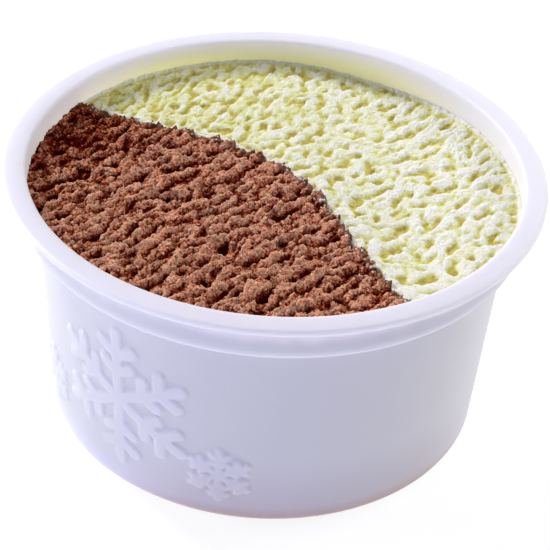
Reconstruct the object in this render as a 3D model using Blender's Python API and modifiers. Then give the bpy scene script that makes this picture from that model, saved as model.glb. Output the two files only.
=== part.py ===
"""A tub of two-flavour gelato: a stepped plastic cup with a flat rim, and two ice creams side by side in it.

Metres, +Z up. The origin is the centre of the base, on the plane that the cup stands on.
-Y is the front. The chocolate fills the front left and the vanilla the back right.
"""

import math

import bmesh
import bpy
from mathutils import Vector, noise

# Driving dimensions of the cup.
RIM_RADIUS = 0.045
CUP_HEIGHT = 0.0454
BASE_RADIUS = 0.0374
WALL = 0.001
RIM_WIDTH = 0.0039
RIM_THICKNESS = 0.0012
RIM_ROUNDING = 0.0004
COLLAR_RADIUS = 0.0421
COLLAR_DEPTH = 0.0076
COLLAR_ROUNDING = 0.0005
STEP_WIDTH = 0.0025
BASE_ROUNDING = 0.0006
FOOT_WIDTH = 0.0028
BASE_RECESS = 0.0008
FLOOR_ROUNDING = 0.002
TURN_STEPS = 72

# Driving dimensions of the ice cream.
FILL_DEPTH_BELOW_RIM = 0.0049
GAP = 0.0003
SURFACE_PITCH = 0.0018
SWELL_LENGTH = 0.02
SWELL_SHARE = 0.4
TEAR_GAIN = 1.6

# The line between the flavours runs from one point of the wall to another, and sways from that chord
# by the first three sine waves.
SEAM_START_AZIMUTH = math.radians(149.6)
SEAM_END_AZIMUTH = math.radians(-54.7)
SEAM_SWAYS = (0.0123, 0.0015, -0.001)
SEAM_STEPS = 40

# Worked out from those.
RIM_INNER_RADIUS = RIM_RADIUS - RIM_WIDTH
COLLAR_BOTTOM = CUP_HEIGHT - COLLAR_DEPTH
COLLAR_INNER_RADIUS = COLLAR_RADIUS - WALL
LEDGE_TOP = COLLAR_BOTTOM + WALL
SHOULDER_RADIUS = COLLAR_RADIUS - STEP_WIDTH
FOOT_INNER_RADIUS = BASE_RADIUS - FOOT_WIDTH
FLOOR_TOP = BASE_RECESS + WALL
FILL_LEVEL = CUP_HEIGHT - FILL_DEPTH_BELOW_RIM

CUP_WHITE = (0.86, 0.86, 0.9)
COCOA_BROWN = (0.2, 0.075, 0.04)
VANILLA_CREAM = (0.9, 0.86, 0.6)


def clear_scene():
    for obj in list(bpy.data.objects):
        bpy.data.objects.remove(obj)


def new_collection(name):
    collection = bpy.data.collections.new(name)
    bpy.context.scene.collection.children.link(collection)
    return collection


def new_material(name, colour, roughness):
    material = bpy.data.materials.new(name)
    material.use_nodes = True
    shader = material.node_tree.nodes["Principled BSDF"]
    shader.inputs["Base Color"].default_value = (*colour, 1)
    shader.inputs["Roughness"].default_value = roughness
    return material


def rounded_outline(corners, arc_steps=2):
    """The points of an outline, with each corner (radius from the axis, height, rounding) made an arc."""
    points = []
    for index, (across, up, rounding) in enumerate(corners):
        corner = Vector((across, up))
        if rounding == 0:
            points.append(corner)
            continue
        back = (Vector(corners[index - 1][:2]) - corner).normalized()
        ahead = (Vector(corners[index + 1][:2]) - corner).normalized()
        half_angle = back.angle(ahead) / 2
        centre = corner + (back + ahead).normalized() * rounding / math.sin(half_angle)
        first = (corner + back * rounding / math.tan(half_angle) - centre).normalized()
        last = (corner + ahead * rounding / math.tan(half_angle) - centre).normalized()
        points += [centre + rounding * first.slerp(last, step / arc_steps) for step in range(arc_steps + 1)]
    return points


def turned_object(name, outline, collection):
    """The outline, which runs from axis to axis and down its outer side, turned round Z."""
    mesh = bpy.data.meshes.new(name)
    edges = [(index, index + 1) for index in range(len(outline) - 1)]
    mesh.from_pydata([(point.x, 0, point.y) for point in outline], edges, [])
    obj = bpy.data.objects.new(name, mesh)
    collection.objects.link(obj)
    screw = obj.modifiers.new("Turn", "SCREW")
    screw.axis = "Z"
    screw.steps = TURN_STEPS
    screw.render_steps = TURN_STEPS
    screw.use_merge_vertices = True
    screw.merge_threshold = 0.00001
    screw.use_smooth_shade = True
    return obj


def outer_wall_radius(height):
    """The tapered wall's outer radius, from the base up to the step under the collar."""
    return BASE_RADIUS + (SHOULDER_RADIUS - BASE_RADIUS) * height / COLLAR_BOTTOM


def make_cup(collection):
    """One moulded shell: floor, tapered wall, stepped collar and flat rim, standing on a low foot ring."""
    outline = rounded_outline(
        [
            (0, FLOOR_TOP, 0),
            (outer_wall_radius(FLOOR_TOP) - WALL, FLOOR_TOP, FLOOR_ROUNDING),
            (outer_wall_radius(COLLAR_BOTTOM) - WALL, LEDGE_TOP, 0),
            (COLLAR_INNER_RADIUS, LEDGE_TOP, 0),
            (RIM_INNER_RADIUS, CUP_HEIGHT, RIM_ROUNDING),
            (RIM_RADIUS, CUP_HEIGHT, RIM_ROUNDING),
            (RIM_RADIUS, CUP_HEIGHT - RIM_THICKNESS, RIM_ROUNDING),
            (COLLAR_RADIUS, CUP_HEIGHT - RIM_THICKNESS, 0),
            (COLLAR_RADIUS, COLLAR_BOTTOM, COLLAR_ROUNDING),
            (outer_wall_radius(COLLAR_BOTTOM), COLLAR_BOTTOM, 0),
            (BASE_RADIUS, 0, BASE_ROUNDING),
            (FOOT_INNER_RADIUS, 0, 0),
            (FOOT_INNER_RADIUS - BASE_RECESS, BASE_RECESS, 0),
            (0, BASE_RECESS, 0),
        ]
    )
    cup = turned_object("cup", outline, collection)
    cup.data.materials.append(new_material("Milky_polypropylene", CUP_WHITE, 0.35))


def filling_outline():
    """The cup's whole inside, up to the rim, kept GAP clear of its wall, ledge and floor."""
    floor = FLOOR_TOP + GAP
    ledge = LEDGE_TOP + GAP
    return rounded_outline(
        [
            (0, CUP_HEIGHT, 0),
            (COLLAR_INNER_RADIUS - GAP, CUP_HEIGHT, 0),
            (COLLAR_INNER_RADIUS - GAP, ledge, 0),
            (outer_wall_radius(COLLAR_BOTTOM) - WALL - GAP, ledge, 0),
            (outer_wall_radius(floor) - WALL - GAP, floor, FLOOR_ROUNDING),
            (0, floor, 0),
        ]
    )


def wall_point(azimuth):
    return COLLAR_INNER_RADIUS * Vector((math.cos(azimuth), math.sin(azimuth)))


def seam_outline(side):
    """The closed outline of all on one side of the seam: side is 1 for the vanilla, -1 for the chocolate."""
    start = wall_point(SEAM_START_AZIMUTH)
    end = wall_point(SEAM_END_AZIMUTH)
    length = (end - start).length
    along = (end - start).normalized()
    sideways = Vector((-along.y, along.x))
    seam = []
    for step in range(SEAM_STEPS + 1):
        share = step / SEAM_STEPS
        sway = slope = 0
        for wave, size in enumerate(SEAM_SWAYS, 1):
            sway += size * math.sin(math.pi * wave * share)
            slope += size * math.cos(math.pi * wave * share) * math.pi * wave / length
        normal = (sideways - along * slope).normalized()
        seam.append(start + along * share * length + sideways * sway + normal * side * GAP / 2)
    past_the_wall = along * COLLAR_RADIUS / 2
    past_the_cup = sideways * side * 2 * RIM_RADIUS
    first = seam[0] - past_the_wall
    last = seam[-1] + past_the_wall
    return [first, *seam, last, last + past_the_cup, first + past_the_cup]


def make_cutter(name, mesh, collection):
    cutter = bpy.data.objects.new(name, mesh)
    cutter.hide_render = True
    cutter.display_type = "WIRE"
    collection.objects.link(cutter)
    return cutter


def make_side_cutter(name, side, collection):
    """A block over one side of the seam, from under the base to above the rim."""
    outline = seam_outline(side)
    curve = bpy.data.curves.new(name, "CURVE")
    curve.dimensions = "2D"
    curve.fill_mode = "BOTH"
    curve.extrude = 2 * CUP_HEIGHT
    spline = curve.splines.new("POLY")
    spline.points.add(len(outline) - 1)
    for spline_point, point in zip(spline.points, outline):
        spline_point.co = (*point, 0, 1)
    spline.use_cyclic_u = True
    drawn = bpy.data.objects.new(name + "_outline", curve)
    collection.objects.link(drawn)
    bpy.context.view_layer.update()
    mesh = bpy.data.meshes.new_from_object(drawn.evaluated_get(bpy.context.evaluated_depsgraph_get()))
    bpy.data.objects.remove(drawn)
    shape = bmesh.new()
    shape.from_mesh(mesh)
    bmesh.ops.remove_doubles(shape, verts=shape.verts, dist=0.00001)
    bmesh.ops.recalc_face_normals(shape, faces=shape.faces)
    shape.to_mesh(mesh)
    shape.free()
    return make_cutter(name, mesh, collection)


def scraped_height(x, y, heading, lump_length, lump_width, depth):
    """How far a scraped surface stands above its mean level: torn lumps, drawn out along the heading."""
    along = x * math.cos(heading) + y * math.sin(heading)
    across = y * math.cos(heading) - x * math.sin(heading)
    torn = TEAR_GAIN * noise.noise(Vector((along / lump_length, across / lump_width, 0)))
    swell = SWELL_SHARE * noise.noise(Vector((x, y, 0)) / SWELL_LENGTH)
    return depth * (max(-1, min(1, torn)) + swell)


def make_surface_cutter(name, collection, **scrape):
    """A block that reaches from under the base up to one flavour's uneven top."""
    cells = round(2 * RIM_RADIUS / SURFACE_PITCH)
    shape = bmesh.new()
    bmesh.ops.create_grid(shape, x_segments=cells, y_segments=cells, size=RIM_RADIUS)
    for vert in shape.verts:
        vert.co.z = FILL_LEVEL + scraped_height(vert.co.x, vert.co.y, **scrape)
    pulled = bmesh.ops.extrude_face_region(shape, geom=shape.faces[:])["geom"]
    for element in pulled:
        if isinstance(element, bmesh.types.BMVert):
            element.co.z = -CUP_HEIGHT
    bmesh.ops.recalc_face_normals(shape, faces=shape.faces)
    mesh = bpy.data.meshes.new(name)
    shape.to_mesh(mesh)
    shape.free()
    return make_cutter(name, mesh, collection)


def make_ice_cream(name, cutters, material, collection):
    """The cup's inside, kept only where every cutter covers it."""
    ice_cream = turned_object(name, filling_outline(), collection)
    ice_cream.data.materials.append(material)
    for cutter in cutters:
        cut = ice_cream.modifiers.new("Keep_inside_" + cutter.name, "BOOLEAN")
        cut.operation = "INTERSECT"
        cut.solver = "EXACT"
        cut.object = cutter


def main():
    clear_scene()
    parts = new_collection("Gelato_cup")
    cutters = new_collection("Cutters")
    cutters.hide_render = True
    make_cup(parts)
    chocolate_top = make_surface_cutter(
        "Chocolate_top", cutters, heading=math.radians(55), lump_length=0.006, lump_width=0.004, depth=0.0005
    )
    make_ice_cream(
        "chocolate_ice_cream",
        [make_side_cutter("Chocolate_side", -1, cutters), chocolate_top],
        new_material("Chocolate_ice_cream", COCOA_BROWN, 0.5),
        parts,
    )
    vanilla_top = make_surface_cutter(
        "Vanilla_top", cutters, heading=math.radians(60), lump_length=0.009, lump_width=0.0045, depth=0.0006
    )
    make_ice_cream(
        "vanilla_ice_cream",
        [make_side_cutter("Vanilla_side", 1, cutters), vanilla_top],
        new_material("Vanilla_ice_cream", VANILLA_CREAM, 0.45),
        parts,
    )


main()
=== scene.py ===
# %% [markdown]
# # A gelato cup, built in cells
#
# The subject is a single-serve tub of gelato: a milky plastic cup with a flat rim and a stepped
# collar, filled with chocolate and vanilla that meet along a curved seam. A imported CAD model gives
# the size and the place of everything, and its ice creams have only low, plain tops. Here each of
# the three pieces is made again as the eye knows it: a moulded cup with rounded edges and a relief
# in its wall, and two ice creams with torn, crumbly tops. Their materials come last.

# %% Load the frame
import math
import random

import bmesh
import bpy
import numpy as np
from mathutils import Matrix, Vector, noise
from mathutils.bvhtree import BVHTree


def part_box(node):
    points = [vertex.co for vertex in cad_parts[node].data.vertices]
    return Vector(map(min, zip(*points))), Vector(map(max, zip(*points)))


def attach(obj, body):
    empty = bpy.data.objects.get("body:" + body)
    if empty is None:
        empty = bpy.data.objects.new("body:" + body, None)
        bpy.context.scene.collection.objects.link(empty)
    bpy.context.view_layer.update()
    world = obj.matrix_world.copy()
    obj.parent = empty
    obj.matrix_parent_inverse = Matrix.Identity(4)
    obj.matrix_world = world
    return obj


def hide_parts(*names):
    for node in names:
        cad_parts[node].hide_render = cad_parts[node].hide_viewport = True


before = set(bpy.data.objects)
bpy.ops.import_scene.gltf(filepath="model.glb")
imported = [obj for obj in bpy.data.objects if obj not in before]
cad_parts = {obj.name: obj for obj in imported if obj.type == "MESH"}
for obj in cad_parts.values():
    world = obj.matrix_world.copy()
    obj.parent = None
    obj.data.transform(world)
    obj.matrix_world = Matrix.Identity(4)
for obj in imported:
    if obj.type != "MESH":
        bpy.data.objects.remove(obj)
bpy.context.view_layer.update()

MM = 0.001
scene = bpy.context.scene
print("nodes:", sorted(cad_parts))

# %% [markdown]
# ## The camera
#
# A small object that is seen from a little distance through a long lens keeps its ellipses nearly
# parallel. The camera is placed by its own position, the point it looks at and how far it is turned
# round its line of sight, because each of the three can then be changed without the others.
# `to_track_quat` gives the turn that points a camera's -Z at something with its Y upwards.

# %% Camera
CAMERA_PLACE = Vector((0, -248.48, 205.91)) * MM
CAMERA_AIM = Vector((1.03, 0, 22.34)) * MM
CAMERA_TILT = math.radians(3.957)
LENS = 116.81

camera_data = bpy.data.cameras.new("Camera")
camera_data.lens = LENS
camera_data.sensor_width = 36
camera = bpy.data.objects.new("Camera", camera_data)
scene.collection.objects.link(camera)
sight = (CAMERA_AIM - CAMERA_PLACE).to_track_quat("-Z", "Y")
camera.matrix_world = (
    Matrix.Translation(CAMERA_PLACE) @ sight.to_matrix().to_4x4() @ Matrix.Rotation(CAMERA_TILT, 4, "Z")
)
scene.camera = camera
drop = CAMERA_PLACE - CAMERA_AIM
print("camera looks down by", round(math.degrees(math.asin(drop.z / drop.length)), 1), "degrees")

# %% [markdown]
# ## The studio lights
#
# White food packaging is shown on a white sweep under soft sources, so that nothing but the shape
# itself makes shade. The key is a softbox far behind and to the left: from low over the surface, it
# rakes across the torn ice cream and throws a shadow into every pit. A small one at the right lifts
# the lumps' other banks. One at the left lights the side of the wall, and a cool one low at the
# front left gives milky plastic its bluish shade. The Standard view keeps white plastic white.

# %% Softboxes
scene.view_settings.view_transform = "Standard"


def softbox(name, place, aim, side, power, colour):
    """A square area lamp at place that faces aim, all in millimetres."""
    data = bpy.data.lights.new(name, "AREA")
    data.shape = "RECTANGLE"
    data.size = side * MM
    data.size_y = side * MM
    data.energy = power
    data.color = colour
    lamp = bpy.data.objects.new(name, data)
    lamp.location = Vector(place) * MM
    lamp.rotation_euler = (Vector(aim) * MM - lamp.location).to_track_quat("-Z", "Y").to_euler()
    scene.collection.objects.link(lamp)
    print(name, "softbox:", power, "W from", round(Vector(place).length), "mm away")


softbox("Key", (-990, 930, 960), (0, 0, 40), 330, 19, (1, 0.985, 0.95))
softbox("Right_key", (230, 90, 200), (10, 0, 40), 150, 0.41, (1, 0.99, 0.97))
softbox("Overhead", (40, 60, 520), (0, 0, 40), 400, 0.1, (1, 1, 1))
softbox("Left", (-560, 40, 230), (0, 0, 30), 300, 1.2, (1, 0.98, 0.96))
softbox("Front_left", (-300, -480, 90), (0, 0, 25), 200, 0.78, (0.34, 0.4, 1))
softbox("Right", (560, -160, 200), (0, 0, 30), 300, 0.03, (1, 0.98, 0.96))

# %% [markdown]
# ## The surround and the floor
#
# A dim, even world stands for the walls of the studio. The floor is one large sheet of white paper.
# A real sweep is lit on its own until it is just short of white; a little emission does the same
# here, and it also throws the light upwards that keeps the wall of the cup pale near its foot.
# Colours are written as sRGB hex values, as a colour picker shows them, and one function turns them
# into the linear values that shaders count in.


# %% Surround and floor
def linear(hex_colour):
    """An sRGB hex colour, such as "#c08040", as linear RGBA."""
    parts = [int(hex_colour[i : i + 2], 16) / 255 for i in (1, 3, 5)]
    return (*[p / 12.92 if p <= 0.04045 else ((p + 0.055) / 1.055) ** 2.4 for p in parts], 1)


def new_material(name):
    """A material with a Principled shader: the material, its node tree and the shader."""
    material = bpy.data.materials.new(name)
    material.use_nodes = True
    return material, material.node_tree, material.node_tree.nodes["Principled BSDF"]


world = bpy.data.worlds.new("Surround")
world.use_nodes = True
scene.world = world
surround = world.node_tree.nodes["Background"]
surround.inputs["Color"].default_value = (1, 0.99, 0.96, 1)
surround.inputs["Strength"].default_value = 0.22

floor_shape = bmesh.new()
bmesh.ops.create_grid(floor_shape, x_segments=1, y_segments=1, size=4000 * MM)
floor_mesh = bpy.data.meshes.new("Floor")
floor_shape.to_mesh(floor_mesh)
floor_shape.free()
floor = bpy.data.objects.new("Floor", floor_mesh)
scene.collection.objects.link(floor)

# White sweep paper: matt, with no gloss that would mirror the cup.
sweep_paper, _, shader = new_material("White_sweep_paper")
shader.inputs["Base Color"].default_value = linear("#909090")
shader.inputs["Roughness"].default_value = 0.9
shader.inputs["Specular IOR Level"].default_value = 0.1
shader.inputs["Emission Color"].default_value = linear("#ffffff")
shader.inputs["Emission Strength"].default_value = 0.82
floor_mesh.materials.append(sweep_paper)
print("floor side in m:", round(floor.dimensions.x, 2))

# %% [markdown]
# ## The cup
#
# The real cup is injection moulded from polypropylene about a millimetre thick. Its section is one
# closed line: floor, tapered wall, a step out into the collar that gives the lid its seat, the flat
# rim, and back down the outside to a low foot ring. Only the outer sizes come from the CAD box; the
# rest are set off from them, so that the cup stays the same shape if the box changes.

# %% Cup measures, in millimetres
cup_low, cup_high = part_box("cup")
RIM_TOP = cup_high.z / MM
RIM_RADIUS = cup_high.x / MM
WALL = 1.0
RIM_WIDTH = 3.9
RIM_THICKNESS = 1.2
RIM_OVERHANG = 2.9
COLLAR_DEPTH = 7.6
STEP_WIDTH = 2.5
TAPER = 2.2
FOOT_WIDTH = 2.8
BASE_RECESS = 0.8

RIM_INNER = RIM_RADIUS - RIM_WIDTH
COLLAR_RADIUS = RIM_RADIUS - RIM_OVERHANG
COLLAR_BOTTOM = RIM_TOP - COLLAR_DEPTH
SHOULDER_RADIUS = COLLAR_RADIUS - STEP_WIDTH
BASE_RADIUS = SHOULDER_RADIUS - TAPER
LEDGE_TOP = COLLAR_BOTTOM + WALL
FOOT_INNER = BASE_RADIUS - FOOT_WIDTH
FLOOR_TOP = BASE_RECESS + WALL


def outer_radius(height):
    """The tapered wall's outer radius at a height."""
    return BASE_RADIUS + (SHOULDER_RADIUS - BASE_RADIUS) * height / COLLAR_BOTTOM


print("rim, collar and base radius:", round(RIM_RADIUS, 2), round(COLLAR_RADIUS, 2), round(BASE_RADIUS, 2))

# %% [markdown]
# ### Rounded corners
#
# No moulded edge is sharp: light catches each one as a soft line, and the eye takes that line for
# plastic. A Bevel modifier could round the finished cup, but every corner here has its own radius,
# so the arcs go into the section itself. `slerp` walks evenly round an arc from one end to the other.

# %% Rounded section
ARC_STEPS = 6


def rounded(corners, longest):
    """Points of an outline: corners (radius, height, rounding) become arcs, long runs are divided."""
    points = []
    for index, (across, up, rounding) in enumerate(corners):
        corner = Vector((across, up))
        if rounding == 0:
            arc = [corner]
        else:
            back = (Vector(corners[index - 1][:2]) - corner).normalized()
            ahead = (Vector(corners[index + 1][:2]) - corner).normalized()
            half = back.angle(ahead) / 2
            centre = corner + (back + ahead).normalized() * rounding / math.sin(half)
            first = (corner + back * rounding / math.tan(half) - centre).normalized()
            last = (corner + ahead * rounding / math.tan(half) - centre).normalized()
            arc = [centre + rounding * first.slerp(last, step / ARC_STEPS) for step in range(ARC_STEPS + 1)]
        if points:
            run = arc[0] - points[-1]
            parts = math.ceil(run.length / longest)
            points += [points[-1] + run * step / parts for step in range(1, parts)]
        points += arc
    return points


section = rounded(
    [
        (0, FLOOR_TOP, 0),
        (outer_radius(FLOOR_TOP) - WALL, FLOOR_TOP, 2.0),
        (outer_radius(COLLAR_BOTTOM) - WALL, LEDGE_TOP, 0.4),
        (COLLAR_RADIUS - WALL, LEDGE_TOP, 0.4),
        (COLLAR_RADIUS - WALL - 0.05, RIM_TOP - 2.0, 0.15),
        (RIM_INNER, RIM_TOP, 0.55),
        (RIM_RADIUS, RIM_TOP, 0.45),
        (RIM_RADIUS, RIM_TOP - RIM_THICKNESS, 0.4),
        (COLLAR_RADIUS, RIM_TOP - RIM_THICKNESS, 0.3),
        (COLLAR_RADIUS, COLLAR_BOTTOM, 0.6),
        (outer_radius(COLLAR_BOTTOM), COLLAR_BOTTOM, 0.4),
        (BASE_RADIUS, 0, 0.6),
        (FOOT_INNER, 0, 0.4),
        (FOOT_INNER - BASE_RECESS, BASE_RECESS, 0.4),
        (0, BASE_RECESS, 0),
    ],
    longest=1.1,
)
print("points in the section:", len(section))

# %% [markdown]
# ### Spinning the section
#
# A turned part is made the way a lathe or a round mould makes it: half the section goes once round
# the axis. `use_merge` joins the last step to the first. The two ends of the line lie on the axis,
# where a spin leaves a heap of points, so those are merged before the normals are worked out.

# %% Spin
TURN_STEPS = 240

cup_shape = bmesh.new()
chain = [cup_shape.verts.new((point.x * MM, 0, point.y * MM)) for point in section]
links = [cup_shape.edges.new(pair) for pair in zip(chain, chain[1:])]
bmesh.ops.spin(
    cup_shape,
    geom=chain + links,
    cent=(0, 0, 0),
    axis=(0, 0, 1),
    angle=2 * math.pi,
    steps=TURN_STEPS,
    use_merge=True,
)
bmesh.ops.remove_doubles(cup_shape, verts=cup_shape.verts, dist=0.001 * MM)
bmesh.ops.recalc_face_normals(cup_shape, faces=cup_shape.faces)
print("faces after the spin:", len(cup_shape.faces))

# %% [markdown]
# ### The relief in the wall
#
# Cups like this have a picture raised in the plastic by a hollow in the mould, less than half a
# millimetre high with soft shoulders. A plain six-armed snow crystal suits ice cream and is nobody's
# mark. Bars laid on the wall as objects of their own would leave creases; pushing out the wall's own
# vertices gives the smooth shoulders of a moulding. Folding the plane six times round the crystal's
# centre means that only one arm needs describing: a bar with two pairs of side branches.

# %% Crystal pattern
BAR_HALF_WIDTH = 0.75
CRYSTALS = [  # azimuth in degrees, height and arm length in millimetres
    (-126, 19.0, 13.5),
    (-99, 9.5, 5.2),
    (-156, 11.0, 5.2),
    (54, 19.0, 13.5),
    (81, 9.5, 5.2),
    (24, 11.0, 5.2),
]
BRANCHES = ((0.42, 0.22), (0.68, 0.26))  # where each leaves the arm, and its length, in arm lengths


def distance_to_bar(point, start, end):
    """The distance from a point to a straight bar's middle line."""
    run = end - start
    share = max(0, min(1, (point - start).dot(run) / run.length_squared))
    return (point - start - run * share).length


def crystal_distance(across, up, arm):
    """The distance from a point to the nearest bar of a six-armed crystal with this arm length."""
    turn = math.atan2(up, across) - math.radians(30)
    turn = abs((turn + math.radians(30)) % math.radians(60) - math.radians(30))
    point = math.hypot(across, up) * Vector((math.cos(turn), math.sin(turn)))
    slant = Vector((math.cos(math.radians(60)), math.sin(math.radians(60))))
    nearest = distance_to_bar(point, Vector((0, 0)), Vector((arm, 0)))
    for share, length in BRANCHES:
        fork = Vector((arm * share, 0))
        nearest = min(nearest, distance_to_bar(point, fork, fork + slant * arm * length))
    return nearest


def crystal_offset(x, y, z, azimuth, height):
    """Where a point of the wall lies from a crystal's centre, as if the wall were rolled out flat."""
    turn = math.atan2(y, x) - math.radians(azimuth)
    turn = (turn + math.pi) % (2 * math.pi) - math.pi
    return turn * outer_radius(z), z - height


print("crystals:", len(CRYSTALS))

# %% [markdown]
# ### Pushing the crystals out
#
# The wall's faces are about a millimetre wide, too coarse for a bar of 1.5 mm. They are divided
# only where a crystal will stand, which keeps the rest of the cup light. Then each vertex of the
# wall moves straight out by the height that the pattern gives there. The smooth step makes the
# shoulders: it leaves the wall gently and arrives at the top gently.

# %% Raise the crystals
RELIEF_HEIGHT = 0.36
SHOULDER = 0.65


def smooth_step(value):
    """0 below 0, 1 above 1, and an S-shaped curve in between."""
    value = max(0, min(1, value))
    return value * value * (3 - 2 * value)


def relief(x, y, z):
    """How far the wall stands out at a point, all in millimetres."""
    tallest = 0
    for azimuth, height, arm in CRYSTALS:
        across, up = crystal_offset(x, y, z, azimuth, height)
        if math.hypot(across, up) < arm + 3:
            # A small crystal's bars are thinner.
            gap = crystal_distance(across, up, arm) - BAR_HALF_WIDTH * min(1, arm / 11)
            tallest = max(tallest, RELIEF_HEIGHT * smooth_step(1 - gap / SHOULDER))
    return tallest


def on_wall(x, y, z):
    """Whether a point lies on the outer side of the tapered wall, clear of its ends."""
    return 2 < z < COLLAR_BOTTOM - 1 and abs(math.hypot(x, y) - outer_radius(z)) < 0.1


def near_crystal(x, y, z):
    """Whether a point of the wall lies on a crystal or just beside one."""
    if not on_wall(x, y, z):
        return False
    return any(math.hypot(*crystal_offset(x, y, z, *crystal[:2])) < crystal[2] + 2 for crystal in CRYSTALS)


wall_patch = {face for face in cup_shape.faces if near_crystal(*face.calc_center_median() / MM)}
patch_edges = [edge for edge in cup_shape.edges if not wall_patch.isdisjoint(edge.link_faces)]
bmesh.ops.subdivide_edges(cup_shape, edges=patch_edges, cuts=3, use_grid_fill=True)
for vert in cup_shape.verts:
    x, y, z = vert.co / MM
    if on_wall(x, y, z):
        raised = outer_radius(z) + relief(x, y, z)
        vert.co.xy = vert.co.xy.normalized() * raised * MM
print("faces with the relief:", len(cup_shape.faces))

# %% [markdown]
# ### Traces, painted light and painted shade on the plastic
#
# A filled cup isn't one colour. Ice cream leaves a thin film on the inner wall above its level, and
# there the wall is painted pale yellow all round, most at the back: partly that film, partly a painted
# reflection of the vanilla and painted light. At the left the inner wall is painted a warm white, the
# painted light of the lamp at the left shining through the plastic. Low at the front the wall is
# painted a darker mauve, painted shade that grows towards the foot. A vertex layer is the simplest
# way to tell a material where such a thing is: one number at each vertex, which the material reads
# by its name.

# %% Film, painted light and painted shade layers
cream_film_and_painted_light = cup_shape.verts.layers.float.new("cream_film_and_painted_light")
painted_inner_light = cup_shape.verts.layers.float.new("painted_inner_light")
painted_foot_shade = cup_shape.verts.layers.float.new("painted_foot_shade")
for vert in cup_shape.verts:
    x, y, z = vert.co / MM
    # Painted shade at the front, darker towards the foot.
    front = smooth_step(1.4 - abs(math.degrees(math.atan2(y, x)) + 72) / 55)
    vert[painted_foot_shade] = front * (1 - 0.4 * smooth_step(z / 15) - 0.5 * smooth_step(z / 3))
    if abs(math.hypot(x, y) - RIM_INNER) < 0.4 and LEDGE_TOP - 0.5 < z < RIM_TOP - 0.4:
        strength = 1 - 0.6 * smooth_step((z - RIM_TOP + 4) / 3.4)
        azimuth = math.degrees(math.atan2(y, x)) % 360
        # Pale yellow: the film, with a painted reflection of the vanilla and painted light, most at the back.
        vert[cream_film_and_painted_light] = strength * max(0.22, smooth_step(1.3 - abs(azimuth - 95) / 60))
        # Painted light at the left, where the lamp at the left shines through the wall.
        vert[painted_inner_light] = strength * smooth_step(1.3 - abs(azimuth - 185) / 50)
print("vertices with a film:", sum(vert[cream_film_and_painted_light] > 0 for vert in cup_shape.verts))

# %% [markdown]
# ### From bmesh to object
#
# Every piece here ends the same way: the bmesh becomes a mesh, its faces are shaded smooth, and the
# object stays at the origin with its place in its mesh. On the cup, edges sharper than 40 degrees
# are marked so that the smooth shading doesn't smear the flats into the corners.


# %% Finish the cup
def finish_mesh(name, shape, sharp_angle=None):
    """Turns a bmesh into a smooth-shaded object at the origin and reports its triangles."""
    triangles = sum(len(face.verts) - 2 for face in shape.faces)
    mesh = bpy.data.meshes.new(name)
    shape.to_mesh(mesh)
    shape.free()
    mesh.shade_smooth()
    if sharp_angle is not None:
        mesh.set_sharp_from_angle(angle=sharp_angle)
    obj = bpy.data.objects.new(name, mesh)
    scene.collection.objects.link(obj)
    print(name, "triangles:", triangles)
    return obj


cup = finish_mesh("moulded_cup", cup_shape, math.radians(40))
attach(cup, "root")
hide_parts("cup")

# %% [markdown]
# ## The seam between the flavours
#
# The two flavours are pumped into the cup side by side, so they meet in one soft curve. It runs
# from a point of the wall at the back left to one at the front right, and swings off that chord by
# the first three sine waves, which is all that such a curve needs. A little noise frays the line.
# What both bodies need from it is a signed distance: which side a point is on, and how far off.

# %% Seam
INTO_WALL = 0.4
FILL_RADIUS = RIM_INNER + INTO_WALL
FILL_LEVEL = RIM_TOP - 4.6
SEAM_START = math.radians(149.6)
SEAM_END = math.radians(-54.7)
SEAM_SWAYS = (12.3, 1.5, -1.0)

seam_from = RIM_INNER * Vector((math.cos(SEAM_START), math.sin(SEAM_START)))
seam_to = RIM_INNER * Vector((math.cos(SEAM_END), math.sin(SEAM_END)))
seam_length = (seam_to - seam_from).length
seam_along = (seam_to - seam_from).normalized()
seam_across = Vector((-seam_along.y, seam_along.x))


def seam_sway(share):
    """How far the seam stands off its chord, at a share of the way along it."""
    return sum(size * math.sin(math.pi * wave * share) for wave, size in enumerate(SEAM_SWAYS, 1))


def seam_slope(share):
    """How steeply the seam leaves its chord, at a share of the way along it."""
    return sum(
        size * math.cos(math.pi * wave * share) * math.pi * wave / seam_length
        for wave, size in enumerate(SEAM_SWAYS, 1)
    )


def seam_distance(x, y):
    """The signed distance from the frayed seam: positive in the vanilla."""
    place = Vector((x, y)) - seam_from
    along = place.dot(seam_along)
    share = max(-0.02, min(1.02, along / seam_length))
    fray = 0.7 * noise.noise(Vector((along / 2.2, 7.3, 0))) + 0.6 * noise.noise(Vector((x / 0.9, y / 0.9, 4)))
    return (place.dot(seam_across) - seam_sway(share)) / math.hypot(1, seam_slope(share)) - fray


print("seam chord in mm:", round(seam_length, 1))

# %% [markdown]
# ## The ice cream bodies
#
# Each flavour is one closed body. Its top is a fine square grid cut to the flavour's outline, fine
# enough (0.18 mm) for single crumbs. A sculpted mesh would look as good, but a grid with a height
# for each point can be changed by a number. The grid's outline is a staircase, so its rim is moved
# onto the wall and the seam. Then the rim is drawn down in three steps, behind the wall, under the
# ledge of the collar and to the floor, and closed. The body reaches just into the plastic, so that
# no gap shows: real ice cream touches its cup everywhere.

# %% Grid, rim and sides
GRID_PITCH = 0.182


def ice_cream_top(side):
    """A flat grid that fills one side of the seam. side is 1 for vanilla and -1 for chocolate."""
    shape = bmesh.new()
    squares = round(2 * FILL_RADIUS / GRID_PITCH) + 2
    bmesh.ops.create_grid(shape, x_segments=squares, y_segments=squares, size=squares * GRID_PITCH / 2)

    def outside(face):
        middle = face.calc_center_median()
        return middle.xy.length > FILL_RADIUS or side * seam_distance(middle.x, middle.y) < 0

    bmesh.ops.delete(shape, geom=[face for face in shape.faces if outside(face)], context="FACES")
    for vert in shape.verts:
        vert.co.z = FILL_LEVEL
    return shape


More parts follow.
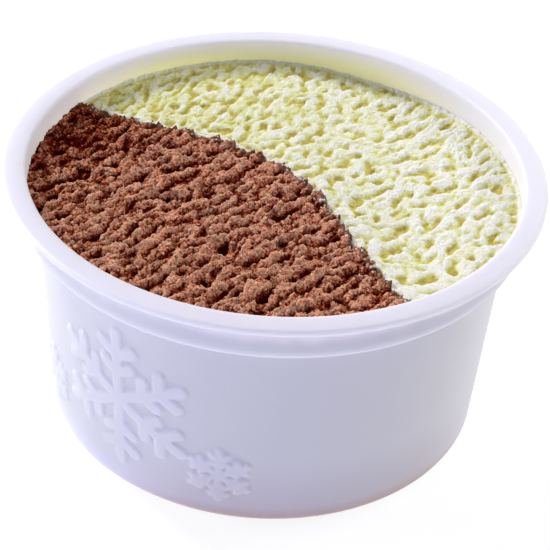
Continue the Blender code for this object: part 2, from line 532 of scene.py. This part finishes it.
def fit_rim(shape):
    """Moves the grid's stepped rim onto the wall and the seam."""
    for vert in [v for v in shape.verts if v.is_boundary]:
        if abs(vert.co.xy.length - FILL_RADIUS) < 2 * GRID_PITCH:
            vert.co.xy = vert.co.xy.normalized() * FILL_RADIUS
        gap = seam_distance(vert.co.x, vert.co.y)
        if abs(gap) < 2 * GRID_PITCH:
            # The fray changes on the way, so the whole gap could carry a point too far.
            vert.co.xy -= seam_across * gap * 0.8


def close_body(shape):
    """Pulls the rim down inside the cup's wall, under the ledge and to the floor, and closes it."""
    rim = [edge for edge in shape.edges if edge.is_boundary]
    for height, limit in (
        (LEDGE_TOP - INTO_WALL, FILL_RADIUS),
        (LEDGE_TOP - INTO_WALL, outer_radius(LEDGE_TOP) - WALL + INTO_WALL),
        (FLOOR_TOP - INTO_WALL, outer_radius(FLOOR_TOP) - WALL + INTO_WALL),
    ):
        made = bmesh.ops.extrude_edge_only(shape, edges=rim)["geom"]
        for vert in [item for item in made if isinstance(item, bmesh.types.BMVert)]:
            vert.co.z = height
            if vert.co.xy.length > limit:
                vert.co.xy = vert.co.xy.normalized() * limit
        rim = [item for item in made if isinstance(item, bmesh.types.BMEdge) and item.is_boundary]
    bmesh.ops.triangle_fill(shape, edges=rim, use_beauty=True)
    bmesh.ops.recalc_face_normals(shape, faces=shape.faces)


print("grid pitch in mm:", GRID_PITCH, "fill radius:", round(FILL_RADIUS, 2))

# %% [markdown]
# ## Which way the surface is torn
#
# The frozen strand is torn off at the nozzle, which draws lumps and hollows out along the tear. So
# all the noise is read in coordinates along and across it, and divided by a longer length along
# than across. Bending the coordinates by a broad noise keeps the rows from running straight.


# %% Tear coordinates
def fade(value, low, high):
    """0 below low, 1 above high, and smooth in between."""
    return smooth_step((value - low) / (high - low))


def torn_coordinates(x, y, look):
    """Coordinates along and across the tear, bent a little so that no row is straight."""
    heading = look["heading"]
    along = x * math.cos(heading) + y * math.sin(heading)
    across = y * math.cos(heading) - x * math.sin(heading)
    seed = look["seed"]
    along += 0.6 * noise.noise(Vector((x / 1.9, y / 1.9, seed + 5)))
    across += 0.9 * noise.noise(Vector((x / 9, y / 9, seed)))
    across += 0.3 * noise.noise(Vector((x / 1.7, y / 1.7, seed + 9)))
    return along, across


# %% [markdown]
# ## The chocolate's relief
#
# Chocolate gelato holds less air and tears roughly: short rows of lumps with sharp crests, deep
# pits between them and small nicks. A ridged multifractal has just such crests, because it folds
# each octave of noise over at zero. Pits and nicks are cut from two more noises, of which only the
# highest parts count. Everything else that the later steps need to know about this flavour is kept
# with it in one dictionary.

# %% Chocolate height
CHOCOLATE = {
    "heading": math.radians(45),  # the way it is torn
    "seed": 17.0,
    "lean": (-0.2, 0.42),  # how far a point moves sideways for each millimetre of its height
    "stretch": 2.2,  # how much longer than wide the crumbs are
    "layers": ((1.2, 0.2, "grains"), (0.75, 0.36, "ridges"), (0.42, 0.26, "grains")),  # size, depth, kind
    "hollow": (-0.5, 0.8),  # the depths between which the colour runs from crest to hollow
    "softness": 1,  # how often those depths are blurred
    "painted_side_shade": (math.radians(138), 4, 28),  # painted shade, darker towards the wall on one side: direction, near and far reach
    "edge": 0,  # how frosty it is where it touches the wall
}


def chocolate_height(x, y):
    """A crumbly surface with deep torn pits."""
    along, across = torn_coordinates(x, y, CHOCOLATE)
    seed = CHOCOLATE["seed"]
    rows = noise.noise(Vector((along / 11, across / 1.9, seed + 11)))
    torn = noise.ridged_multi_fractal(
        Vector((along / 7.4, across / 2.3, seed + 17)), 0.45, 2.1, 5, 0.95, 1.9, noise_basis="PERLIN_ORIGINAL"
    )
    pit = fade(noise.noise(Vector((along / 4.2, across / 1.3, seed + 23))), 0.08, 0.5)
    nick = fade(noise.noise(Vector((along / 1.8, across / 0.65, seed + 29))), 0.12, 0.5)
    return 0.6 * rows + 0.65 * (torn - 1.25) - 1.25 * pit - 0.4 * nick + 0.38


print("chocolate height at the left:", round(chocolate_height(-20, 0), 2), "mm")

# %% [markdown]
# ## The vanilla's relief
#
# The vanilla is airier and softer. It keeps oval hollows, two or three millimetres long, between
# pale ridges that are only rough on top. Cells of voronoi noise were the first idea for hollows,
# but their even, round walls look like the holes in a cheese; the high parts of plain noise, leaned
# over, are as irregular as torn ice cream. The surface calms down towards the wall, where a frosty
# smear of it stands up against the plastic, and sinks a millimetre in a broad dish.

# %% Vanilla height
VANILLA = {
    "heading": math.radians(64),
    "seed": 61.0,
    "lean": (-0.34, 0.68),
    "stretch": 1.5,
    "layers": ((1.1, 0.12, "grains"), (0.6, 0.14, "crumbs"), (0.42, 0.1, "grains")),
    "hollow": (-0.22, 0.36),
    "softness": 4,
    # painted shade, darker towards the left
    "painted_side_shade": (math.radians(180), 8, 78),
    "edge": 0.8,
}


def vanilla_height(x, y):
    """Oval hollows between soft white ridges."""
    along, across = torn_coordinates(x, y, VANILLA)
    seed = VANILLA["seed"]
    stretch = 1 + 0.2 * x / 40
    along /= stretch
    across /= stretch
    rows = noise.noise(Vector((along / 9, across / 2.4, seed + 11)))
    bowl = fade(noise.noise(Vector((along / 3, across / 1.6, seed + 23))), -0.05, 0.55)
    dimple = fade(noise.noise(Vector((along / 1.8, across / 0.9, seed + 29))), -0.05, 0.6)
    wobble = noise.noise(Vector((along / 0.9, across / 0.5, seed + 50)))
    wall_gap = FILL_RADIUS - math.hypot(x, y)
    dish = fade(x, -4, 20) * fade(x, 40, 20) * fade(seam_distance(x, y), 0.5, 8)
    calm = (0.3 + 0.7 * fade(wall_gap, 0.2, 3)) * (1 - 0.25 * fade(y, 5, 32))
    smear = (1 - fade(wall_gap, 0.3, 1.1)) * (0.3 + 0.3 * wobble)
    return smear - 1.1 * dish + (0.15 * rows - 0.5 * bowl - 0.22 * dimple + 0.08 * wobble) * calm + 0.25


print("vanilla height at the right:", round(vanilla_height(20, 10), 2), "mm")

# %% [markdown]
# ## Overhangs, crumbs and grains
#
# Heights alone can't lean over, and a torn lump does. So the high points are first dragged sideways,
# and then layers of finer noise push each vertex along its own normal instead of straight up, which
# makes lumps bulge over the pits beside them. Round cells make crumbs, folded noise makes little
# ridges, and plain noise makes grains. A broad noise lets some patches be rougher than others.


# %% Lean and push
def lean_tops(shape, side, lean):
    """Drags high points sideways, so that one bank of each hollow is gentle and the other sharp."""
    for vert in shape.verts:
        x, y, z = vert.co
        free = fade(side * seam_distance(x, y), 0.3, 1.5) * fade(FILL_RADIUS - math.hypot(x, y), 0.3, 1.5)
        vert.co.x += lean[0] * (z - FILL_LEVEL) * free
        vert.co.y += lean[1] * (z - FILL_LEVEL) * free


def push_out(shape, size, depth, seed, kind, look):
    """Moves every top vertex along its normal by crumbs, ridges or grains, more in some patches."""
    heading = look["heading"]
    shape.normal_update()
    moves = []
    for vert in shape.verts:
        x, y, z = vert.co
        along = x * math.cos(heading) + y * math.sin(heading)
        across = y * math.cos(heading) - x * math.sin(heading)
        place = Vector((along / look["stretch"], across, z)) / size + Vector((seed, 3.1, size))
        if kind == "crumbs":
            gaps, _ = noise.voronoi(place)
            push = 0.5 - 1.4 * gaps[0] ** 2
        elif kind == "ridges":
            push = 0.5 - 2 * abs(noise.noise(place))
        else:
            push = noise.noise(place)
        patch = 0.35 + 0.95 * fade(noise.noise(Vector((x / 3.1, y / 3.1, seed + 70))), -0.3, 0.3)
        moves.append(vert.normal * push * depth * patch)
    for vert, move in zip(shape.verts, moves):
        vert.co += move


# %% [markdown]
# ## How deep each point lies
#
# The colour of the torn ice cream follows its relief: crests are pale, and hollows get painted shade,
# darker and deeper in colour. A point's own height doesn't say whether it lies in a hollow, but its
# height against the average of its neighbourhood does. That average comes from passing each height on
# to the vertices beside it, eighty times. The sums run over arrays, because loops over so many edges
# are slow.


# %% Depth below the neighbourhood
BLUR_ROUNDS = 80


def local_depth(shape, softness):
    """How far each vertex lies below the surface around it, in millimetres, blurred softness times."""
    shape.verts.index_update()
    ends = np.array([[vert.index for vert in edge.verts] for edge in shape.edges])
    heights = np.array([vert.co.z for vert in shape.verts])
    count = np.bincount(ends.ravel(), minlength=len(heights)) + 1
    smooth = heights.copy()
    blurred = heights
    for step in range(BLUR_ROUNDS):
        if step == softness:
            blurred = smooth
        total = smooth + np.bincount(ends[:, 0], smooth[ends[:, 1]], len(heights))
        total += np.bincount(ends[:, 1], smooth[ends[:, 0]], len(heights))
        smooth = total / count
    return smooth - blurred


def mark_surface(shape, side, look):
    """Writes three numbers at each vertex: how hollow and how frosted it is, and its painted shade from the
    wall's side.
    """
    hollow = shape.verts.layers.float.new("hollow")
    frost = shape.verts.layers.float.new("frost")
    painted_side_shade = shape.verts.layers.float.new("painted_side_shade")
    shaded_side, near, far = look["painted_side_shade"]
    depths = local_depth(shape, look["softness"])
    for vert, depth in zip(shape.verts, depths):
        if vert.co.xy.length > FILL_RADIUS:
            vert.co.xy = vert.co.xy.normalized() * FILL_RADIUS
        vert[hollow] = fade(depth, *look["hollow"])
        gap = side * seam_distance(vert.co.x, vert.co.y)
        at_wall = look["edge"] * (1 - fade(FILL_RADIUS - vert.co.xy.length, 0.6, 1.3))
        vert[frost] = max(at_wall, 1 - fade(gap, 0.2, 1.6))
        # Painted shade: darker the nearer a point lies to the wall on one side, for the wall's shadow and the
        # dimmer light there.
        reach = FILL_RADIUS - vert.co.x * math.cos(shaded_side) - vert.co.y * math.sin(shaded_side)
        vert[painted_side_shade] = 1 - fade(reach, near, far)


# %% [markdown]
# ## Crumbs beside the seam
#
# Where the two flavours were torn apart, crumbs of the harder, paler vanilla lie on the chocolate.
# They are small lumpy balls, strewn mostly close to the seam. A ray from above finds the chocolate's
# surface under each of them. The random numbers have a fixed seed, so the crumbs never move.


# %% Stray crumbs
CRUMB_COUNT = 90


def stray_crumbs(shape, ground):
    """Small crumbs of vanilla that fell on the chocolate beside the seam."""
    dice = random.Random(5)
    frost = shape.verts.layers.float["frost"]
    surface = BVHTree.FromPolygons(
        [vert.co / MM for vert in ground.data.vertices], [face.vertices for face in ground.data.polygons]
    )
    for _ in range(CRUMB_COUNT):
        share = dice.uniform(0.02, 0.98)
        middle = seam_from + seam_along * seam_length * share
        place = middle + seam_across * (seam_sway(share) - abs(dice.gauss(0.1, 0.55)))
        touched = surface.ray_cast(Vector((*place, 60)), Vector((0, 0, -1)))[0]
        if touched is None:
            continue
        radius = dice.uniform(0.1, 0.24)
        perch = Matrix.Translation(touched + Vector((0, 0, radius * 0.5)))
        made = bmesh.ops.create_icosphere(shape, subdivisions=2, radius=radius, matrix=perch)
        for vert in made["verts"]:
            lump = 1 + 0.6 * noise.noise(vert.co * 4)
            vert.co = touched + (vert.co - touched) * lump
            vert[frost] = 1


# %% [markdown]
# ## Both ice creams
#
# Now the steps above run in order, once for each flavour. All of them count in millimetres, and the
# finished body is scaled to metres at the end. The chocolate comes first, because the crumbs of the
# vanilla are dropped onto it.


# %% Make the ice creams
def make_ice_cream(name, side, look, height, node, ground=None):
    """The finished piece of one flavour, in place of its CAD node. Its crumbs fall on the ground."""
    shape = ice_cream_top(side)
    fit_rim(shape)
    for vert in shape.verts:
        vert.co.z += height(vert.co.x, vert.co.y)
    lean_tops(shape, side, look["lean"])
    for number, (size, depth, kind) in enumerate(look["layers"]):
        push_out(shape, size, depth, look["seed"] + number, kind, look)
    mark_surface(shape, side, look)
    heights = [vert.co.z - FILL_LEVEL for vert in shape.verts]
    mean = sum(heights) / len(heights)
    print(name, "heights in mm:", round(min(heights), 2), round(mean, 2), round(max(heights), 2))
    close_body(shape)
    if ground is not None:
        stray_crumbs(shape, ground)
    bmesh.ops.scale(shape, vec=(MM, MM, MM), verts=shape.verts)
    piece = finish_mesh(name, shape)
    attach(piece, "root")
    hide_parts(node)
    return piece


chocolate = make_ice_cream(
    "torn_chocolate_ice_cream", -1, CHOCOLATE, chocolate_height, "chocolate_ice_cream"
)
vanilla = make_ice_cream(
    "torn_vanilla_ice_cream", 1, VANILLA, vanilla_height, "vanilla_ice_cream", ground=chocolate
)

# %% [markdown]
# ## Materials: the cup's plastic
#
# The cup is polypropylene, filled with a little white pigment and moulded against a fine matt
# surface. The eye gets three things from it: a broad soft sheen, light that soaks in and comes out a
# few millimetres away, so that shadows on it have no hard edge, and a cool bluish shade. Roughness
# gives the first and subsurface scattering the second. The colour runs through the three layers
# that the mesh carries: the film with its painted reflection and painted light, painted light at
# the inner left and painted shade low at the front.
#
# One function adds a node with its settings and its links. A Mix node holds a set of sockets for
# each kind of value under the same names, so its colour sockets are given by number: 0 is the
# factor, 6 and 7 are the colours, and output 2 is the result.


# %% Plastic
def add_node(tree, kind, inputs=(), **settings):
    """Adds a node, sets its properties, then sets or links each (socket, value) of inputs."""
    node = tree.nodes.new(kind)
    for key, value in settings.items():
        setattr(node, key, value)
    for socket, value in dict(inputs).items():
        if isinstance(value, bpy.types.NodeSocket):
            tree.links.new(value, node.inputs[socket])
        else:
            node.inputs[socket].default_value = value
    return node


# Milky polypropylene: a satin, waxy white with soft shadows. It is tinted by the film of ice cream
# with painted reflection and painted light, by painted light at the inner left and by painted shade
# low at the front.
plastic, tree, shader = new_material("Moulded_milky_polypropylene")
tint = linear("#e2e1f6")
for layer, colour in (("cream_film_and_painted_light", "#fff6b6"), ("painted_inner_light", "#fff2e8"), ("painted_foot_shade", "#b8a29f")):
    amount = add_node(tree, "ShaderNodeAttribute", attribute_name=layer)
    tint = add_node(
        tree, "ShaderNodeMix", {0: amount.outputs["Fac"], 6: tint, 7: linear(colour)}, data_type="RGBA"
    ).outputs[2]
tree.links.new(tint, shader.inputs["Base Color"])
shader.inputs["Roughness"].default_value = 0.48
shader.inputs["IOR"].default_value = 1.49
shader.inputs["Subsurface Weight"].default_value = 1
shader.inputs["Subsurface Radius"].default_value = (1, 1, 1)
shader.inputs["Subsurface Scale"].default_value = 3 * MM
cup.data.materials.append(plastic)
print("plastic nodes:", len(tree.nodes))

# %% [markdown]
# ## Materials: torn gelato
#
# Ice cream is a foam of ice, fat and sugar syrup. Torn, its crests look pale, and its hollows and
# the creases between its grains look darker and richer in colour; that is painted here as shade. So
# the material first works out one number, how deep a point lies in painted shade, from the layers on
# the mesh, a soft mottling of 4 mm and the creases between grains of less than half a millimetre.


# %% Depth and painted shade
MOTTLE_SIZE = 4 * MM


def painted_depth_shade(tree, finish, place, grains):
    """A socket that is 0 on crests and 1 in the deepest painted shade of hollows and creases."""
    hollow = add_node(tree, "ShaderNodeAttribute", attribute_name="hollow")
    painted_side_shade = add_node(tree, "ShaderNodeAttribute", attribute_name="painted_side_shade")
    mottle = add_node(
        tree,
        "ShaderNodeTexNoise",
        {"Vector": place, "Scale": 1 / MOTTLE_SIZE, "Detail": 4, "Roughness": 0.65},
    )
    crease_shade = add_node(tree, "ShaderNodeMath", {0: grains.outputs["Distance"], 1: 2}, operation="POWER")
    depth = hollow.outputs["Fac"]
    # The mottling is the flavour's own tone; the hollows, the wall's side and the creases between grains add
    # painted shade.
    for amount, strength in (
        (mottle.outputs["Fac"], 2 * finish["mottle"]),
        (painted_side_shade.outputs["Fac"], finish["painted_side_shade"]),
        (crease_shade.outputs[0], finish["crevice"]),
    ):
        added = add_node(tree, "ShaderNodeMath", {0: amount, 1: strength, 2: depth}, operation="MULTIPLY_ADD")
        depth = added.outputs[0]
    level = finish["mottle"] + 0.25 * finish["crevice"]
    return add_node(tree, "ShaderNodeMath", {0: depth, 1: level}, operation="SUBTRACT").outputs[0]


# %% [markdown]
# ### Colour, frost and painted glints
#
# A colour ramp turns that depth into the flavour's colours, darker in the painted shade. Two things
# then go over it. Frost, along the seam and the wall, is dry and opaque. And single grains on the
# crests get painted glints, pale specks for crystals that catch the light: the voronoi texture gives
# every grain a random number, and only the highest turn pale.


# %% Colour of gelato
def depth_colours(tree, finish, depth):
    """A socket with the flavour's colour for each depth, darker in deeper painted shade."""
    ramp = add_node(tree, "ShaderNodeValToRGB", {"Fac": depth})
    stops = ramp.color_ramp.elements
    (first, top_colour), *between, (last, deep_colour) = finish["colours"]
    stops[0].position = first
    stops[0].color = linear(top_colour)
    stops[1].position = last
    stops[1].color = linear(deep_colour)
    for position, colour in between:
        stops.new(position).color = linear(colour)
    return ramp.outputs["Color"]


def frozen_colour(tree, finish, depth, frost, grains):
    """A socket with the flavour's colours under frost and painted glints."""
    colour = depth_colours(tree, finish, depth)
    frosted = add_node(
        tree, "ShaderNodeMix", {0: frost, 6: colour, 7: linear(finish["frost"])}, data_type="RGBA"
    )
    # Painted glints: pale specks on single grains of the crests.
    crystal = add_node(
        tree,
        "ShaderNodeMapRange",
        {"Value": grains.outputs["Color"], "From Min": 0.55, "From Max": 0.68, "To Max": finish["painted_glint"]},
    )
    crest = add_node(tree, "ShaderNodeMapRange", {"Value": depth, "From Min": 0.6, "From Max": 0.1})
    glint = add_node(
        tree, "ShaderNodeMath", {0: crystal.outputs[0], 1: crest.outputs[0]}, operation="MULTIPLY"
    )
    glinted = add_node(
        tree,
        "ShaderNodeMix",
        {0: glint.outputs[0], 6: frosted.outputs[2], 7: linear(finish["crystals"])},
        data_type="RGBA",
    )
    return glinted.outputs[2]


# %% [markdown]
# ### The surface, and the light that soaks in
#
# The mesh holds lumps down to half a millimetre. What is finer is a bump: each grain stands up
# between its creases, and a noise of half its size roughens it. A thin wet coat shines where the
# surface isn't deep. Under it the light soaks in, more in the vanilla than in the chocolate, but not
# where there is frost, which is opaque. The IOR is that of a frozen sugar solution, 1.35.


# %% Gelato material
def gelato(name, finish):
    """Torn ice cream whose colours run from the lumps' tops to the hollows."""
    material, tree, shader = new_material(name)
    place = add_node(tree, "ShaderNodeTexCoord").outputs["Object"]
    frost = add_node(tree, "ShaderNodeAttribute", attribute_name="frost").outputs["Fac"]
    grain_scale = 1 / (finish["grain"] * MM)
    grains = add_node(tree, "ShaderNodeTexVoronoi", {"Vector": place, "Scale": grain_scale})
    depth = painted_depth_shade(tree, finish, place, grains)
    tree.links.new(frozen_colour(tree, finish, depth, frost, grains), shader.inputs["Base Color"])

    fine = add_node(tree, "ShaderNodeTexNoise", {"Vector": place, "Scale": 2 * grain_scale, "Detail": 1})
    rough = add_node(
        tree, "ShaderNodeMath", {0: fine.outputs["Fac"], 1: grains.outputs["Distance"]}, operation="SUBTRACT"
    )
    bumped = add_node(
        tree, "ShaderNodeBump", {"Height": rough.outputs[0], "Distance": finish["bump"] * MM, "Strength": 1}
    )
    tree.links.new(bumped.outputs["Normal"], shader.inputs["Normal"])
    tree.links.new(bumped.outputs["Normal"], shader.inputs["Coat Normal"])

    wet = add_node(
        tree,
        "ShaderNodeMapRange",
        {"Value": depth, "From Min": 0.4, "From Max": 0.1, "To Max": finish["wet"]},
    )
    milky = add_node(tree, "ShaderNodeMapRange", {"Value": frost, "To Min": finish["milk"], "To Max": 0})
    tree.links.new(wet.outputs["Result"], shader.inputs["Coat Weight"])
    tree.links.new(milky.outputs["Result"], shader.inputs["Subsurface Weight"])
    shader.inputs["Subsurface Radius"].default_value = finish["radius"]
    shader.inputs["Subsurface Scale"].default_value = finish["reach"] * MM
    shader.inputs["Roughness"].default_value = 0.6
    shader.inputs["IOR"].default_value = 1.35
    shader.inputs["Specular IOR Level"].default_value = 0.03
    shader.inputs["Coat Roughness"].default_value = 0.18
    shader.inputs["Coat IOR"].default_value = 1.35
    print(name, "nodes:", len(tree.nodes))
    return material


# %% [markdown]
# ### The two flavours
#
# Chocolate: cocoa makes it dense, so little light passes through, and what does is red. Its crests
# are dull tan, and its hollows are painted in shade a saturated dark red-brown. Vanilla: almost white
# on its crests, with pits painted a pale golden yellow for the shade and the bounced light in them,
# and light goes a millimetre deep. The grain sizes are real ones: the crumbs of torn gelato are
# about 0.4 mm across.

# %% Flavours
CHOCOLATE_FINISH = {
    "colours": (
        (0.08, "#ffbb9c"),
        (0.28, "#c86e4c"),
        (0.47, "#8e3418"),
        (0.65, "#5c1002"),
        (0.87, "#460200"),
    ),
    "mottle": 0.35,  # how much of the depth the mottling adds
    "painted_side_shade": 0.33,  # how much the painted shade on the wall's side adds
    "crevice": 0.7,  # how much the painted shade in the creases between grains adds
    "frost": "#a5684a",
    # the colour of the painted glints on the crests
    "crystals": "#ffdac4",
    "painted_glint": 0.38,  # how strongly single grains turn pale in painted glints
    "grain": 0.42,  # the size of a grain, in millimetres
    "bump": 0.5,  # the height of a grain, in millimetres, drawn higher than real so that it shows
    "wet": 0.12,
    "milk": 0.3,  # how much of the light soaks in
    "radius": (1, 0.35, 0.15),  # how far each colour goes, as a share of the reach
    "reach": 0.5,  # in millimetres
}
VANILLA_FINISH = {
    "colours": (
        (0.1, "#f3f0ee"),
        (0.32, "#ecedd2"),
        (0.56, "#dfdf98"),
        (0.82, "#cec068"),
    ),
    "mottle": 0.45,
    # how much the painted shade towards the left adds
    "painted_side_shade": 0.25,
    "crevice": 0.16,
    "frost": "#f8f7ea",
    # the colour of the painted glints on the crests
    "crystals": "#ffffff",
    "painted_glint": 0.5,
    "grain": 0.4,
    "bump": 0.18,
    "wet": 0.2,
    "milk": 0.9,
    "radius": (1, 0.92, 0.6),
    "reach": 1.2,
}
chocolate.data.materials.append(gelato("Torn_chocolate_gelato", CHOCOLATE_FINISH))
vanilla.data.materials.append(gelato("Torn_vanilla_gelato", VANILLA_FINISH))
